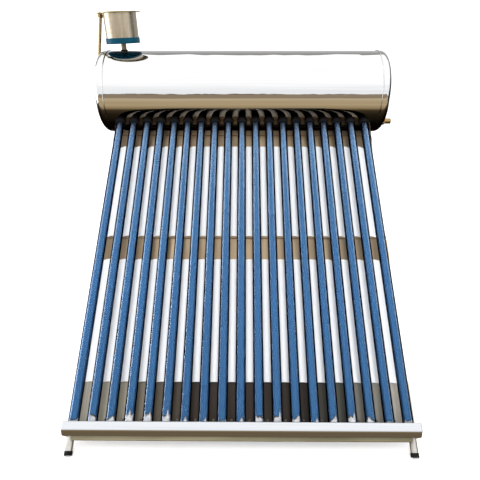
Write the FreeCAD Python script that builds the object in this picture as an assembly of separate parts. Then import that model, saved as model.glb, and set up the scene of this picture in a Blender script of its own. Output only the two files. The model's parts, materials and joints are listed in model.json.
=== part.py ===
import FreeCAD, Part

import math
import os

from FreeCAD import Vector

# Vacuum-tube solar water heater, all sizes in millimetres.
#
# It is drawn about the axis of its storage tank: X runs along the tank, +X to the right of someone who
# faces the tubes, Y runs away from that person, and Z is up. The slanted parts (tubes, reflectors, cross
# beams, tail rail and front legs) are drawn flat and then turned by TILT about the tank's axis. Drawn flat,
# "down" is a distance from the tank's axis along the tubes, and "out" is a height above the plane of the
# tubes' axes. At the end everything is moved so that the origin is the bottom centre of the whole heater.

# Driving dimensions
TILT = 45.0
TUBE_COUNT = 19
TUBE_PITCH = 80.0
TUBE_LENGTH = 1800.0
TUBE_RADIUS = 23.5
TUBE_ROW_SHIFT = -3.0
TANK_RADIUS = 235.0
INNER_TANK_RADIUS = 180.0
SHELL_HALF_LENGTH = 801.0
AXIS_HEIGHT = 1490.0

# Evacuated tubes
GLASS_WALL = 1.6
ABSORBER_RADIUS = 18.5
TUBE_MOUTH = 150.0
ABSORBER_RIM = 4.0
ABSORBER_END_GAP = 30.0
GETTER_CAP_WALL = 0.8
GETTER_CAP_LENGTH = 40.0
GETTER_SPRING = (36.0, 26.0)
CUP_WALL = 2.0
CUP_GAP = 0.3
CUP_LIP = 1.5
SEAL_SPAN = (165.0, 192.0)
SEAL_SLEEVE = 2.0
SEAL_FLANGE_SPAN = (181.0, 187.0)
SEAL_RADIUS = 30.0
RING_SPAN = (225.0, 257.0)
RING_SLEEVE = 5.0
RING_FLANGE_SPAN = (235.5, 243.0)
RING_RADIUS = 31.0

# Storage tank
SHELL_WALL = 1.0
CAP_WALL = 1.6
CAP_SKIRT = 8.0
CAP_SHOULDER = 10.0
CAP_BEAD = 3.0
CAP_KNUCKLE = 40.0
CAP_DOME = 8.0
INNER_WALL = 1.5
INNER_HALF_LENGTH = 735.0
INNER_DOME = 45.0

# Frame
LEG_RADIUS = 16.0
PIPE_WALL = 1.5
LEG_X = 750.0
LEG_OUT = -74.0
LEG_TOP = 262.0
LEG_END = 2017.0
BOOT_RADIUS = 18.0
BOOT_GRIP = 4.0
BOOT_SOLE = 14.0
REAR_BOOT_SPAN = (-18.0, 20.0)
REAR_LEG_TOP = Vector(LEG_X, 150.0, -208.0)
REAR_LEG_FOOT = Vector(LEG_X, 215.0, -AXIS_HEIGHT)
SADDLE_ANGLES = (TILT + 13.0, 99.0, 140.0)
SADDLE_SHEET = 3.0
SADDLE_INSIDE = 25.0
SADDLE_OUTSIDE = 22.0
FIT_GAP = 0.2
FLAT_BAR = 3.0
FLAT_BAR_HALF = 15.0
BRACE_HALF = 12.0
BAR_OVERHANG = 12.0
BAR_CLEARANCE = 1.2
BOLT_SIZE = 8.0
BOLT_TAIL = 8.0
FRONT_BOLT_DOWN = 310.0
SHEET = 2.0
BEAM_FACE = LEG_OUT + LEG_RADIUS + SHEET
BEAM_HALF = 766.0
FLANGE_HALF = 731.0
FLANGE = 20.0
SIDE_BAR_HEIGHTS = (-800.0, -1330.0)
REAR_BAR_HEIGHTS = (-420.0, -1250.0)

# Bands of the slope, as distances down from the tank's axis
UPPER_BEAM = (256.0, 400.0)
UPPER_GROOVE = (291.0, 317.0, 8.0)
UPPER_REFLECTOR = (388.0, 976.0)
MIDDLE_BEAM = (964.0, 1121.0)
MIDDLE_GROOVE = (981.0, 989.0, 4.0)
LOWER_REFLECTOR = (1111.0, 1724.0)
LOWER_PANEL = (1712.0, 1896.0)
REFLECTOR_SHEET = 1.0
REFLECTOR_DEPTH = 15.0

# Tail rail
RAIL_HALF = 754.0
RAIL_WALL = 1.5
RAIL_ROUND = 5.0
RAIL_OUTLINE = ((1900.0, -42.0), (1900.0, 38.0), (1936.0, 38.0), (1958.0, 14.0), (1958.0, -42.0))
RAIL_CAP = 8.5
RAIL_CAP_ROUND = 7.0
SUPPORT_BAR = 13.0
SUPPORT_BAR_WIDTH = 46.0

# Feeder tank with its float valve; heights are above the top of the storage tank
FEEDER_X = -704.0
FEEDER_LEAN = -2.2
FEEDER_TURN = 6.0
STUB_RADIUS = 15.0
BASE_BOTTOM = 38.0
BASE_HEIGHT = 32.0
BASE_RADIUS = 98.0
BASE_WALL = 3.5
BODY_RADIUS = 94.0
LID_HEIGHT = 203.0
LID_RADIUS = 117.0
LID_SHEET = 5.0
TAB_RADIUS = 25.0
TAB_X = -114.0
VENT_X = -110.0
VALVE_HEIGHT = 165.0
VALVE_RADIUS = 12.0
VALVE_THREAD = 10.4
VALVE_SHANK = 11.4
VALVE_NUT = 8.0
VALVE_NUT_SIZE = 30.0
VALVE_FRONT = 64.0
VALVE_REACH = 128.0
VALVE_SEAT = 84.0
HINGE_Y = 54.0
HINGE_DROP = 11.0
HINGE_PIN = 2.0
RUNNING_GAP = 0.05
ARM_LENGTH = 85.0
ARM_SWING = 35.0
ARM_ROD = 3.0
LUG_RADIUS = 4.0
BALL_RADIUS = 32.0
BALL_WALL = 1.5
ARM_HALF_WIDTH = 4.0
EAR_WIDTH = 4.0
EAR_ROUND = 6.0
PIN_HALF_LENGTH = 9.5
WATER_WAY = 2.5
SPOUT = 2.0

# Pipes
VENT_RADIUS = 10.0
VENT_PORT = 120.0
VENT_BEND = 28.0
VENT_SIDE = -870.0
VENT_INSERT = 25.0
VENT_TOP = 6.0
VENT_NUT_GAP = 3.0
VENT_NUT_HEIGHT = 19.0
VENT_NUT_SIZE = 27.0
NIPPLE_RADIUS = 16.6
NIPPLE_REACH = 905.0
NIPPLE_Y = -60.0
NIPPLE_Z = -170.0
NIPPLE_WALL = 4.0
NIPPLE_COLLAR_X = SHELL_HALF_LENGTH + 54.0
NIPPLE_COLLAR = 12.0
NIPPLE_COLLAR_SIZE = 40.0

X_AXIS = Vector(1, 0, 0)
Y_AXIS = Vector(0, 1, 0)
Z_AXIS = Vector(0, 0, 1)
CENTRE = Vector(0, 0, 0)
TUBE_X = [TUBE_ROW_SHIFT + (i - (TUBE_COUNT - 1) / 2) * TUBE_PITCH for i in range(TUBE_COUNT)]
TUBE_END = TUBE_MOUTH + TUBE_LENGTH

parts = {}


# ---- Small helpers ----

def tilted(shape):
    """Turn a shape that was drawn flat onto the slope."""
    return shape.rotated(CENTRE, X_AXIS, TILT)


def on_slope(x, down, out):
    """The place of a point of the flat drawing once it is on the slope."""
    angle = math.radians(TILT)
    y = -down * math.cos(angle) - out * math.sin(angle)
    z = -down * math.sin(angle) + out * math.cos(angle)
    return Vector(x, y, z)


def mirrored(shape):
    return shape.mirror(CENTRE, X_AXIS)


def rod(start, end, radius):
    direction = end.sub(start)
    return Part.makeCylinder(radius, direction.Length, start, direction)


def pipe(start, end, radius, wall):
    return rod(start, end, radius).cut(rod(start, end, radius - wall))


def box_between(low, high):
    size = high.sub(low)
    return Part.makeBox(size.x, size.y, size.z, low)


def polygon_face(points):
    return Part.Face(Part.makePolygon(list(points) + [points[0]]))


def bar_across(outline, half_length):
    """A bar along X. Its outline is a list of (down, out) points."""
    points = [Vector(-half_length, -down, out) for down, out in outline]
    return polygon_face(points).extrude(Vector(2 * half_length, 0, 0))


def folded_sheet(path, thickness):
    """Closed outline of a folded sheet whose outer face follows path; the sheet lies to its right."""
    inner = []
    last = len(path) - 1
    for i, (down, out) in enumerate(path):
        before = path[max(i - 1, 0)]
        after = path[min(i + 1, last)]
        normals = []
        for (a, b) in ((before, path[i]), (path[i], after)):
            length = math.hypot(b[0] - a[0], b[1] - a[1])
            if length > 0:
                normals.append(((b[1] - a[1]) / length, -(b[0] - a[0]) / length))
        nx = sum(n[0] for n in normals)
        ny = sum(n[1] for n in normals)
        scale = thickness * len(normals) / (nx * nx + ny * ny)
        inner.append((down + nx * scale, out + ny * scale))
    return list(path) + inner[::-1]


def round_long_edges(shape, corners, radius):
    """Round the edges that run along X through the given (down, out) corners."""
    chosen = []
    for edge in shape.Edges:
        if len(edge.Vertexes) != 2:
            continue
        a = edge.Vertexes[0].Point
        b = edge.Vertexes[1].Point
        if abs(a.x - b.x) < 100:
            continue
        for down, out in corners:
            if abs(a.y + down) < 0.01 and abs(a.z - out) < 0.01:
                chosen.append(edge)
    return shape.makeFillet(radius, chosen)


def hexagon(start, end, across_flats):
    """A hexagonal prism from start to end."""
    direction = end.sub(start)
    radius = across_flats / math.sqrt(3)
    side = X_AXIS if abs(direction.x) < 0.5 * direction.Length else Y_AXIS
    first = direction.cross(side).normalize()
    second = direction.cross(first).normalize()
    points = []
    for i in range(6):
        angle = math.radians(60 * i)
        points.append(start.add(first * (radius * math.cos(angle))).add(second * (radius * math.sin(angle))))
    return polygon_face(points).extrude(direction)


def closed_tube(radius, wall, start, end):
    """A tube along -Y, open at start and closed by a half sphere at end (both distances down)."""
    bend = end - radius
    inner = radius - wall
    half = math.sqrt(0.5)
    edges = [
        Part.makeLine(Vector(radius, -start, 0), Vector(radius, -bend, 0)),
        Part.Arc(Vector(radius, -bend, 0), Vector(radius * half, -bend - radius * half, 0),
                 Vector(0, -end, 0)).toShape(),
        Part.makeLine(Vector(0, -end, 0), Vector(0, -bend - inner, 0)),
        Part.Arc(Vector(0, -bend - inner, 0), Vector(inner * half, -bend - inner * half, 0),
                 Vector(inner, -bend, 0)).toShape(),
        Part.makeLine(Vector(inner, -bend, 0), Vector(inner, -start, 0)),
        Part.makeLine(Vector(inner, -start, 0), Vector(radius, -start, 0)),
    ]
    return Part.Face(Part.Wire(edges)).revolve(CENTRE, Y_AXIS, 360)


def ring(outer, inner, start, end):
    """A ring round a tube's axis, between two distances down."""
    return pipe(Vector(0, -start, 0), Vector(0, -end, 0), outer, outer - inner)


def at_each_tube(shape):
    """Copies of a shape at every tube, turned onto the slope, as separate solids."""
    copies = [tilted(shape.translated(Vector(x, 0, 0))) for x in TUBE_X]
    return Part.makeCompound(copies)


def tube_holes(radius, start, end):
    return [tilted(rod(Vector(x, -start, 0), Vector(x, -end, 0), radius)) for x in TUBE_X]


def leaning(shape):
    """Move a shape drawn about the feeder's own upright axis to its place on the tank, with its lean."""
    placed = shape.translated(Vector(FEEDER_X, 0, TANK_RADIUS))
    return placed.rotated(Vector(FEEDER_X, 0, TANK_RADIUS), Y_AXIS, FEEDER_LEAN)


def turned(shape):
    """Turn a shape forward about the tank's axis, as the tank sits turned in its saddles."""
    return shape.rotated(CENTRE, X_AXIS, FEEDER_TURN)


# ---- Evacuated tubes ----

def glass_tube(x):
    """Outer glass, closed and round at its lower end."""
    glass = closed_tube(TUBE_RADIUS, GLASS_WALL, TUBE_MOUTH, TUBE_END)
    return tilted(glass.translated(Vector(x, 0, 0)))


def absorber_tube():
    """Inner coated glass. A rim at its mouth joins it to the outer glass."""
    end = TUBE_END - ABSORBER_END_GAP
    tube = closed_tube(ABSORBER_RADIUS, GLASS_WALL, TUBE_MOUTH, end)
    rim = ring(TUBE_RADIUS - GLASS_WALL, ABSORBER_RADIUS - GLASS_WALL, TUBE_MOUTH, TUBE_MOUTH + ABSORBER_RIM)
    return tube.fuse(rim)


def getter_cap():
    """Spring cap that holds the inner tube's end in the middle of the outer one and carries the getter."""
    end = TUBE_END - ABSORBER_END_GAP
    radius = ABSORBER_RADIUS + GETTER_CAP_WALL
    cap = closed_tube(radius, GETTER_CAP_WALL, end - GETTER_CAP_LENGTH, end + GETTER_CAP_WALL)
    spring = ring(TUBE_RADIUS - GLASS_WALL, radius, end - GETTER_SPRING[0], end - GETTER_SPRING[1])
    return cap.fuse(spring)


def tail_cup():
    """Plastic cup in the tail rail that takes the tube's round end."""
    inner = TUBE_RADIUS + CUP_GAP
    start = RAIL_OUTLINE[0][0] - CUP_LIP
    return closed_tube(inner + CUP_WALL, CUP_WALL, start, TUBE_END + CUP_GAP + CUP_WALL)


def tube_seal():
    """Silicone ring that seals the tube in the inner tank's wall."""
    sleeve = ring(TUBE_RADIUS + SEAL_SLEEVE, TUBE_RADIUS, *SEAL_SPAN)
    flange = ring(SEAL_RADIUS, TUBE_RADIUS, *SEAL_FLANGE_SPAN)
    return sleeve.fuse(flange)


def dust_ring():
    """Rubber ring round the tube where it enters the outer shell."""
    sleeve = ring(TUBE_RADIUS + RING_SLEEVE, TUBE_RADIUS, *RING_SPAN)
    flange = ring(RING_RADIUS, TUBE_RADIUS, *RING_FLANGE_SPAN)
    return sleeve.fuse(flange)


# ---- Storage tank ----

def tank_axis_rod(radius, half_length):
    return rod(Vector(-half_length, 0, 0), Vector(half_length, 0, 0), radius)


def stub_hole():
    return turned(leaning(rod(Vector(0, 0, -80), Vector(0, 0, BASE_BOTTOM + 2), STUB_RADIUS)))


def outer_shell():
    shell = tank_axis_rod(TANK_RADIUS, SHELL_HALF_LENGTH)
    shell = shell.cut(tank_axis_rod(TANK_RADIUS - SHELL_WALL, SHELL_HALF_LENGTH + 1))
    return shell.cut(tube_holes(TUBE_RADIUS + RING_SLEEVE, 200, 260) + [stub_hole()])


def dome_point(rim, rise, radius):
    """How far a dome with this rim radius and rise stands above its rim, at a smaller radius."""
    ball = (rim * rim + rise * rise) / (2 * rise)
    return math.sqrt(ball * ball - radius * radius) - (ball - rise)


def cap_curve(inset):
    """The right end cap's wall, inset by a distance, from its skirt to its middle, as edges in X and Z."""
    radius = TANK_RADIUS + CAP_WALL - inset
    bend = CAP_KNUCKLE - inset
    middle_x = SHELL_HALF_LENGTH + CAP_SHOULDER
    middle_z = radius - bend
    half = math.sqrt(0.5)
    face_x = middle_x + bend
    start = Vector(SHELL_HALF_LENGTH - CAP_SKIRT, 0, radius)
    knuckle = Vector(middle_x, 0, radius)
    face = Vector(face_x, 0, middle_z)
    centre = Vector(face_x + CAP_DOME, 0, 0)
    dome_mid = Vector(face_x + dome_point(middle_z, CAP_DOME, middle_z / 2), 0, middle_z / 2)
    edges = [
        Part.makeLine(start, knuckle),
        Part.Arc(knuckle, Vector(middle_x + bend * half, 0, middle_z + bend * half), face).toShape(),
        Part.Arc(face, dome_mid, centre).toShape(),
    ]
    return edges, start, centre


def right_cap_blank():
    outer, outer_start, outer_centre = cap_curve(0)
    inner, inner_start, inner_centre = cap_curve(CAP_WALL)
    edges = outer + inner
    edges.append(Part.makeLine(outer_start, inner_start))
    edges.append(Part.makeLine(outer_centre, inner_centre))
    cap = Part.Face(Part.Wire(Part.__sortEdges__(edges))).revolve(CENTRE, X_AXIS, 360)
    bead_x = SHELL_HALF_LENGTH - CAP_SKIRT + CAP_BEAD
    bead = Part.makeTorus(TANK_RADIUS + CAP_WALL, CAP_BEAD, Vector(bead_x, 0, 0), X_AXIS)
    bead = bead.cut(tank_axis_rod(TANK_RADIUS, SHELL_HALF_LENGTH + 50))
    return cap.fuse(bead)


def inside_of_caps():
    """Everything inside the shell and caps, as one solid, for the foam."""
    edges, start, centre = cap_curve(CAP_WALL)
    edges.append(Part.makeLine(centre, CENTRE))
    edges.append(Part.makeLine(CENTRE, Vector(0, 0, start.z)))
    edges.append(Part.makeLine(Vector(0, 0, start.z), start))
    right = Part.Face(Part.Wire(Part.__sortEdges__(edges))).revolve(CENTRE, X_AXIS, 360)
    inside = right.fuse(mirrored(right))
    shell = tank_axis_rod(TANK_RADIUS + 10, SHELL_HALF_LENGTH)
    shell = shell.cut(tank_axis_rod(TANK_RADIUS - SHELL_WALL, SHELL_HALF_LENGTH + 1))
    return inside.cut(shell)


def inner_tank_solid(inset):
    """The inner tank's outline with domed ends, inset by a distance from its outer face."""
    radius = INNER_TANK_RADIUS - inset
    half = INNER_HALF_LENGTH
    dome = INNER_DOME - inset
    middle = dome_point(radius, dome, radius / 2)
    edges = [
        Part.makeLine(Vector(-half, 0, radius), Vector(half, 0, radius)),
        Part.Arc(Vector(half, 0, radius), Vector(half + middle, 0, radius / 2),
                 Vector(half + dome, 0, 0)).toShape(),
        Part.makeLine(Vector(half + dome, 0, 0), Vector(-half - dome, 0, 0)),
        Part.Arc(Vector(-half - dome, 0, 0), Vector(-half - middle, 0, radius / 2),
                 Vector(-half, 0, radius)).toShape(),
    ]
    return Part.Face(Part.Wire(edges)).revolve(CENTRE, X_AXIS, 360)


def inner_tank():
    tank = inner_tank_solid(0).cut(inner_tank_solid(INNER_WALL))
    tank = tank.cut(tube_holes(TUBE_RADIUS + SEAL_SLEEVE, 120, 200) + [stub_hole()])
    return tank.cut([vent_solid(VENT_RADIUS), nipple_solid(NIPPLE_RADIUS)])


def insulation_foam():
    foam = inside_of_caps().cut(inner_tank_solid(0))
    foam = foam.cut(tube_holes(SEAL_RADIUS, 150, 260) + [stub_hole()])
    return foam.cut([vent_solid(VENT_RADIUS), nipple_solid(NIPPLE_RADIUS)])


# ---- Pipes on the tank's ends ----

def vent_path():
    """From the left end of the inner tank, out through the cap and up through the lid's tab."""
    corner = Vector(VENT_SIDE, 0, VENT_PORT)
    lid_hole = leaning(Part.Vertex(Vector(VENT_X, 0, LID_HEIGHT + LID_SHEET))).Point
    upward = lid_hole.sub(corner).normalize()
    top = lid_hole.add(upward * VENT_TOP)
    start = Vector(-INNER_HALF_LENGTH - VENT_INSERT, 0, VENT_PORT)
    turn = math.acos(-upward.x)
    setback = VENT_BEND * math.tan(turn / 2)
    bend_in = Vector(corner.x + setback, 0, corner.z)
    bend_out = corner.add(upward * setback)
    centre = Vector(bend_in.x, 0, corner.z + VENT_BEND)
    towards_corner = corner.sub(centre).normalize()
    bend_mid = centre.add(towards_corner * VENT_BEND)
    edges = [
        Part.makeLine(start, bend_in),
        Part.Arc(bend_in, bend_mid, bend_out).toShape(),
        Part.makeLine(bend_out, top),
    ]
    return Part.Wire(edges), start, upward, lid_hole


def vent_solid(radius):
    path, start, _, _ = vent_path()
    circle = Part.Wire(Part.makeCircle(radius, start, X_AXIS))
    return turned(path.makePipeShell([circle], True, False))


def vent_pipe():
    return vent_solid(VENT_RADIUS).cut(vent_solid(VENT_RADIUS - PIPE_WALL))


def vent_nut():
    """Brass nut on the vent pipe, just under the lid's tab."""
    _, _, upward, lid_hole = vent_path()
    top = lid_hole.sub(upward * (LID_SHEET + VENT_NUT_GAP))
    bottom = top.sub(upward * VENT_NUT_HEIGHT)
    return turned(hexagon(bottom, top, VENT_NUT_SIZE).cut(rod(bottom, top, VENT_RADIUS)))


def nipple_solid(radius):
    start = Vector(INNER_HALF_LENGTH + 5, NIPPLE_Y, NIPPLE_Z)
    return rod(start, Vector(NIPPLE_REACH, NIPPLE_Y, NIPPLE_Z), radius)


def outlet_nipple():
    """Water connection on the right end, with a hexagon collar against the cap."""
    start = Vector(NIPPLE_COLLAR_X, NIPPLE_Y, NIPPLE_Z)
    collar = hexagon(start, start.add(X_AXIS * NIPPLE_COLLAR), NIPPLE_COLLAR_SIZE)
    return nipple_solid(NIPPLE_RADIUS).fuse(collar).cut(nipple_solid(NIPPLE_RADIUS - NIPPLE_WALL))


# ---- Slope: reflectors, beams and tail rail ----

def wave(out):
    """Edges of one long wave across the tubes, with a trough under every tube."""
    left = -TUBE_COUNT * TUBE_PITCH / 2
    quarter = TUBE_PITCH / 4
    middle = out - REFLECTOR_DEPTH / 2
    edges = []
    for i in range(TUBE_COUNT):
        x = left + i * TUBE_PITCH
        ridge_in = Vector(x, 0, out)
        rise_in = Vector(x + quarter, 0, middle)
        trough = Vector(x + 2 * quarter, 0, out - REFLECTOR_DEPTH)
        rise_out = Vector(x + 3 * quarter, 0, middle)
        ridge_out = Vector(x + 4 * quarter, 0, out)
        bulge = REFLECTOR_DEPTH / 8
        edges.append(Part.Arc(ridge_in, Vector(x + quarter / 2, 0, out - bulge), rise_in).toShape())
        edges.append(Part.Arc(rise_in, trough, rise_out).toShape())
        edges.append(Part.Arc(rise_out, Vector(x + 3.5 * quarter, 0, out - bulge), ridge_out).toShape())
    return edges


def reflector(span):
    """White corrugated sheet behind the tubes, between two distances down."""
    ridge = BEAM_FACE + REFLECTOR_DEPTH + REFLECTOR_SHEET
    top = wave(ridge)
    bottom = wave(ridge - REFLECTOR_SHEET)
    left = -TUBE_COUNT * TUBE_PITCH / 2
    ends = [
        Part.makeLine(Vector(left, 0, ridge), Vector(left, 0, ridge - REFLECTOR_SHEET)),
        Part.makeLine(Vector(-left, 0, ridge), Vector(-left, 0, ridge - REFLECTOR_SHEET)),
    ]
    outline = Part.Face(Part.Wire(Part.__sortEdges__(top + bottom + ends)))
    sheet = outline.extrude(Vector(0, -(span[1] - span[0]), 0))
    return tilted(sheet.translated(Vector(TUBE_ROW_SHIFT, -span[0], 0)))


def cross_beam(span, grooves):
    """Folded sheet across the legs. Its grooves stop short of the legs; its flat strips lie on them."""
    first, last = span
    path = [(first, BEAM_FACE - FLANGE), (first, BEAM_FACE)]
    strips = []
    strip_start = first
    for start, end, depth in grooves:
        path += [(start, BEAM_FACE), (start + 2, BEAM_FACE - depth)]
        path += [(end - 2, BEAM_FACE - depth), (end, BEAM_FACE)]
        strips.append((strip_start, start))
        strip_start = end
    path += [(last, BEAM_FACE), (last, BEAM_FACE - FLANGE)]
    strips.append((strip_start, last))
    beam = bar_across(folded_sheet(path, SHEET), FLANGE_HALF)
    for start, end in strips:
        low = Vector(-BEAM_HALF, -end, BEAM_FACE - SHEET)
        beam = beam.fuse(box_between(low, Vector(BEAM_HALF, -start, BEAM_FACE)))
    return tilted(beam.removeSplitter())


def tail_rail():
    """Folded channel, open at its back, that holds the lower ends of the tubes."""
    outside = round_long_edges(bar_across(RAIL_OUTLINE, RAIL_HALF), RAIL_OUTLINE[1:4], RAIL_ROUND)
    room = folded_sheet(RAIL_OUTLINE, RAIL_WALL)[len(RAIL_OUTLINE):][::-1]
    behind = RAIL_OUTLINE[0][1] - 10
    room[0] = (room[0][0], behind)
    room[-1] = (room[-1][0], behind)
    inside = round_long_edges(bar_across(room, RAIL_HALF + 1), room[1:4], RAIL_ROUND - RAIL_WALL)
    entry = RAIL_OUTLINE[0][0]
    holes = [rod(Vector(x, 5 - entry, 0), Vector(x, -5 - entry, 0), TUBE_RADIUS + CUP_GAP + CUP_WALL)
             for x in TUBE_X]
    return tilted(outside.cut([inside] + holes))


def rail_end_cap():
    """Right-hand cover of the tail rail, with rounded edges."""
    cover = bar_across(RAIL_OUTLINE, RAIL_CAP / 2)
    cover = round_outer_face(cover)
    return tilted(cover.translated(Vector(RAIL_HALF + RAIL_CAP / 2, 0, 0)))


def round_outer_face(cover):
    """Round all edges of the +X face."""
    chosen = []
    for edge in cover.Edges:
        if all(vertex.Point.x > 0 for vertex in edge.Vertexes):
            chosen.append(edge)
    return cover.makeFillet(RAIL_CAP_ROUND, chosen)


def rail_support_bar():
    """Flat tube between the front legs that the rail rests on."""
    start = RAIL_OUTLINE[-1][0]
    low_out = LEG_OUT + 4
    outline = [(start, low_out), (start, low_out + SUPPORT_BAR_WIDTH),
               (start + SUPPORT_BAR, low_out + SUPPORT_BAR_WIDTH), (start + SUPPORT_BAR, low_out)]
    hollow = [(start + SHEET, low_out + SHEET), (start + SHEET, low_out + SUPPORT_BAR_WIDTH - SHEET),
              (start + SUPPORT_BAR - SHEET, low_out + SUPPORT_BAR_WIDTH - SHEET),
              (start + SUPPORT_BAR - SHEET, low_out + SHEET)]
    half = LEG_X - LEG_RADIUS
    return tilted(bar_across(outline, half).cut(bar_across(hollow, half + 1)))


# ---- Legs, ties and saddles ----

def above(shape, height):
    """The part of a shape that lies above a height over the ground."""
    room = box_between(Vector(-2000, -3000, height - AXIS_HEIGHT), Vector(2000, 3000, 2000))
    return shape.common(room)


def front_leg():
    return pipe(on_slope(LEG_X, LEG_TOP, LEG_OUT), on_slope(LEG_X, LEG_END, LEG_OUT), LEG_RADIUS, PIPE_WALL)


def rear_leg_direction():
    return REAR_LEG_FOOT.sub(REAR_LEG_TOP).normalize()


def rear_leg():
    leg = pipe(REAR_LEG_TOP, REAR_LEG_FOOT, LEG_RADIUS, PIPE_WALL)
    return above(leg, BOOT_GRIP)


def front_boot():
    """Rubber cap on the slanting pipe, worn flat where it stands on the ground."""
    start = on_slope(LEG_X, LEG_END - BOOT_GRIP, LEG_OUT)
    end = on_slope(LEG_X, LEG_END + BOOT_SOLE, LEG_OUT)
    boot = rod(start, end, BOOT_RADIUS)
    leg = rod(on_slope(LEG_X, LEG_TOP, LEG_OUT), on_slope(LEG_X, LEG_END, LEG_OUT), LEG_RADIUS)
    return above(boot.cut(leg), 0)


def rear_boot():
    down = rear_leg_direction()
    start = REAR_LEG_FOOT.add(down * REAR_BOOT_SPAN[0])
    boot = above(rod(start, REAR_LEG_FOOT.add(down * REAR_BOOT_SPAN[1]), BOOT_RADIUS), 0)
    leg = above(rod(REAR_LEG_TOP, REAR_LEG_FOOT, LEG_RADIUS), BOOT_GRIP)
    return boot.cut(leg)


def rear_leg_y(z):
    share = (z - REAR_LEG_TOP.z) / (REAR_LEG_FOOT.z - REAR_LEG_TOP.z)
    return REAR_LEG_TOP.y + share * (REAR_LEG_FOOT.y - REAR_LEG_TOP.y)


def front_leg_y(z):
    """The leg's axis at a height: on the slope, y and z differ by a fixed amount."""
    foot = on_slope(0, LEG_END, LEG_OUT)
    return foot.y + (z - foot.z) / math.tan(math.radians(TILT))


def side_bar(z):
    """Level flat bar on the inner side of the right-hand legs, from the front leg to the rear leg."""
    inner_x = LEG_X - LEG_RADIUS
    front = front_leg_y(z) - 24
    rear = rear_leg_y(z) + 14
    low = Vector(inner_x - FLAT_BAR, front, z - FLAT_BAR_HALF)
    bar = box_between(low, Vector(inner_x, rear, z + FLAT_BAR_HALF))
    over_leg = LEG_OUT + LEG_RADIUS - FLAT_BAR
    room = tilted(box_between(Vector(0, -LEG_END, over_leg), Vector(LEG_X, -LEG_TOP, over_leg + 50)))
    return bar.cut(room)


def rear_cross_bar(z):
    """Level flat bar on the back of the rear legs."""
    back = rear_leg_y(z) + LEG_RADIUS + BAR_CLEARANCE
    end = LEG_X + BAR_OVERHANG
    return box_between(Vector(-end, back, z - FLAT_BAR_HALF), Vector(end, back + FLAT_BAR, z + FLAT_BAR_HALF))


def rear_brace(z_left, z_right, gap):
    """Slanting flat bar on the front of the rear legs, from the left leg to the right leg."""
    lean = math.atan2(REAR_LEG_FOOT.y - REAR_LEG_TOP.y, REAR_LEG_TOP.z - REAR_LEG_FOOT.z)
    run = 2 * LEG_X
    rise = z_right - z_left
    length = math.hypot(run, rise / math.cos(lean))
    half = Vector(length / 2, FLAT_BAR / 2, BRACE_HALF)
    bar = box_between(half * -1, half)
    bar = bar.rotated(CENTRE, Y_AXIS, -math.degrees(math.atan2(rise / math.cos(lean), run)))
    bar = bar.rotated(CENTRE, X_AXIS, math.degrees(lean))
    middle_z = (z_left + z_right) / 2
    front = rear_leg_y(middle_z) - (LEG_RADIUS + FLAT_BAR / 2 + gap) / math.cos(lean)
    return bar.translated(Vector(0, front, middle_z))


def tank_saddle():
    """Curved cradle plate under the tank with a lug beside each right-hand leg."""
    inner = TANK_RADIUS + FIT_GAP
    outer = inner + SADDLE_SHEET
    left = LEG_X - SADDLE_INSIDE
    right = LEG_X + SADDLE_OUTSIDE
    plate = pipe(Vector(left, 0, 0), Vector(right, 0, 0), outer, outer - inner)
    corners = [Vector(left, 0, 0)]
    for angle in SADDLE_ANGLES:
        turn = math.radians(angle)
        corners.append(Vector(left, -2 * outer * math.cos(turn), -2 * outer * math.sin(turn)))
    plate = plate.common(polygon_face(corners).extrude(Vector(right - left, 0, 0)))
    lug_x = LEG_X + LEG_RADIUS + FIT_GAP
    far_x = lug_x + SADDLE_SHEET
    front_lug = tilted(box_between(Vector(lug_x, -335, LEG_OUT - 22), Vector(far_x, -200, LEG_OUT + 18)))
    rear_lug = box_between(Vector(lug_x, REAR_LEG_TOP.y - 18, REAR_LEG_TOP.z - 80),
                           Vector(far_x, REAR_LEG_TOP.y + 22, -150))
    room = Part.makeCylinder(inner + 1, 200, Vector(left - 50, 0, 0), X_AXIS)
    return plate.fuse([front_lug.cut(room), rear_lug.cut(room)])


def bolt(centre, direction, grip, size):
    """Hexagon bolt: its shank runs back from centre along -direction; head in front, nut behind."""
    axis = Vector(direction).normalize()
    tail = centre.sub(axis * grip)
    shank = rod(tail.sub(axis * BOLT_TAIL), centre, size / 2)
    head = hexagon(centre, centre.add(axis * size * 0.65), size * 1.6)
    nut = hexagon(tail.sub(axis * size * 0.8), tail, size * 1.6)
    return shank.fuse([head, nut])


def leg_bolt_places():
    """Where bolts pass sideways through the right-hand legs: (point, grip)."""
    lug = FIT_GAP + SADDLE_SHEET
    outside = LEG_X + LEG_RADIUS + lug
    through_lug = 2 * LEG_RADIUS + lug
    front = on_slope(outside, FRONT_BOLT_DOWN, LEG_OUT)
    rear = Vector(outside, REAR_LEG_TOP.y + 2.5, REAR_LEG_TOP.z - 50)
    places = [(front, through_lug), (rear, through_lug)]
    for z in SIDE_BAR_HEIGHTS:
        for y in (front_leg_y(z), rear_leg_y(z)):
            places.append((Vector(LEG_X + LEG_RADIUS, y, z), 2 * LEG_RADIUS + FLAT_BAR))
    return places


def bolt_solids():
    right = [bolt(place, X_AXIS, grip, BOLT_SIZE) for place, grip in leg_bolt_places()]
    return right + [mirrored(shape) for shape in right]


# ---- Feeder tank and float valve ----

def feeder_stub():
    return leaning(pipe(Vector(0, 0, -62), Vector(0, 0, BASE_BOTTOM + BASE_WALL + 3), STUB_RADIUS, 2))


def stub_gasket():
    """Rubber gasket on the tank's round top, under the stub's collar."""
    gasket = leaning(pipe(Vector(0, 0, -3), Vector(0, 0, 5), STUB_RADIUS + 5, 5))
    return gasket.cut(tank_axis_rod(TANK_RADIUS, SHELL_HALF_LENGTH))


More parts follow.
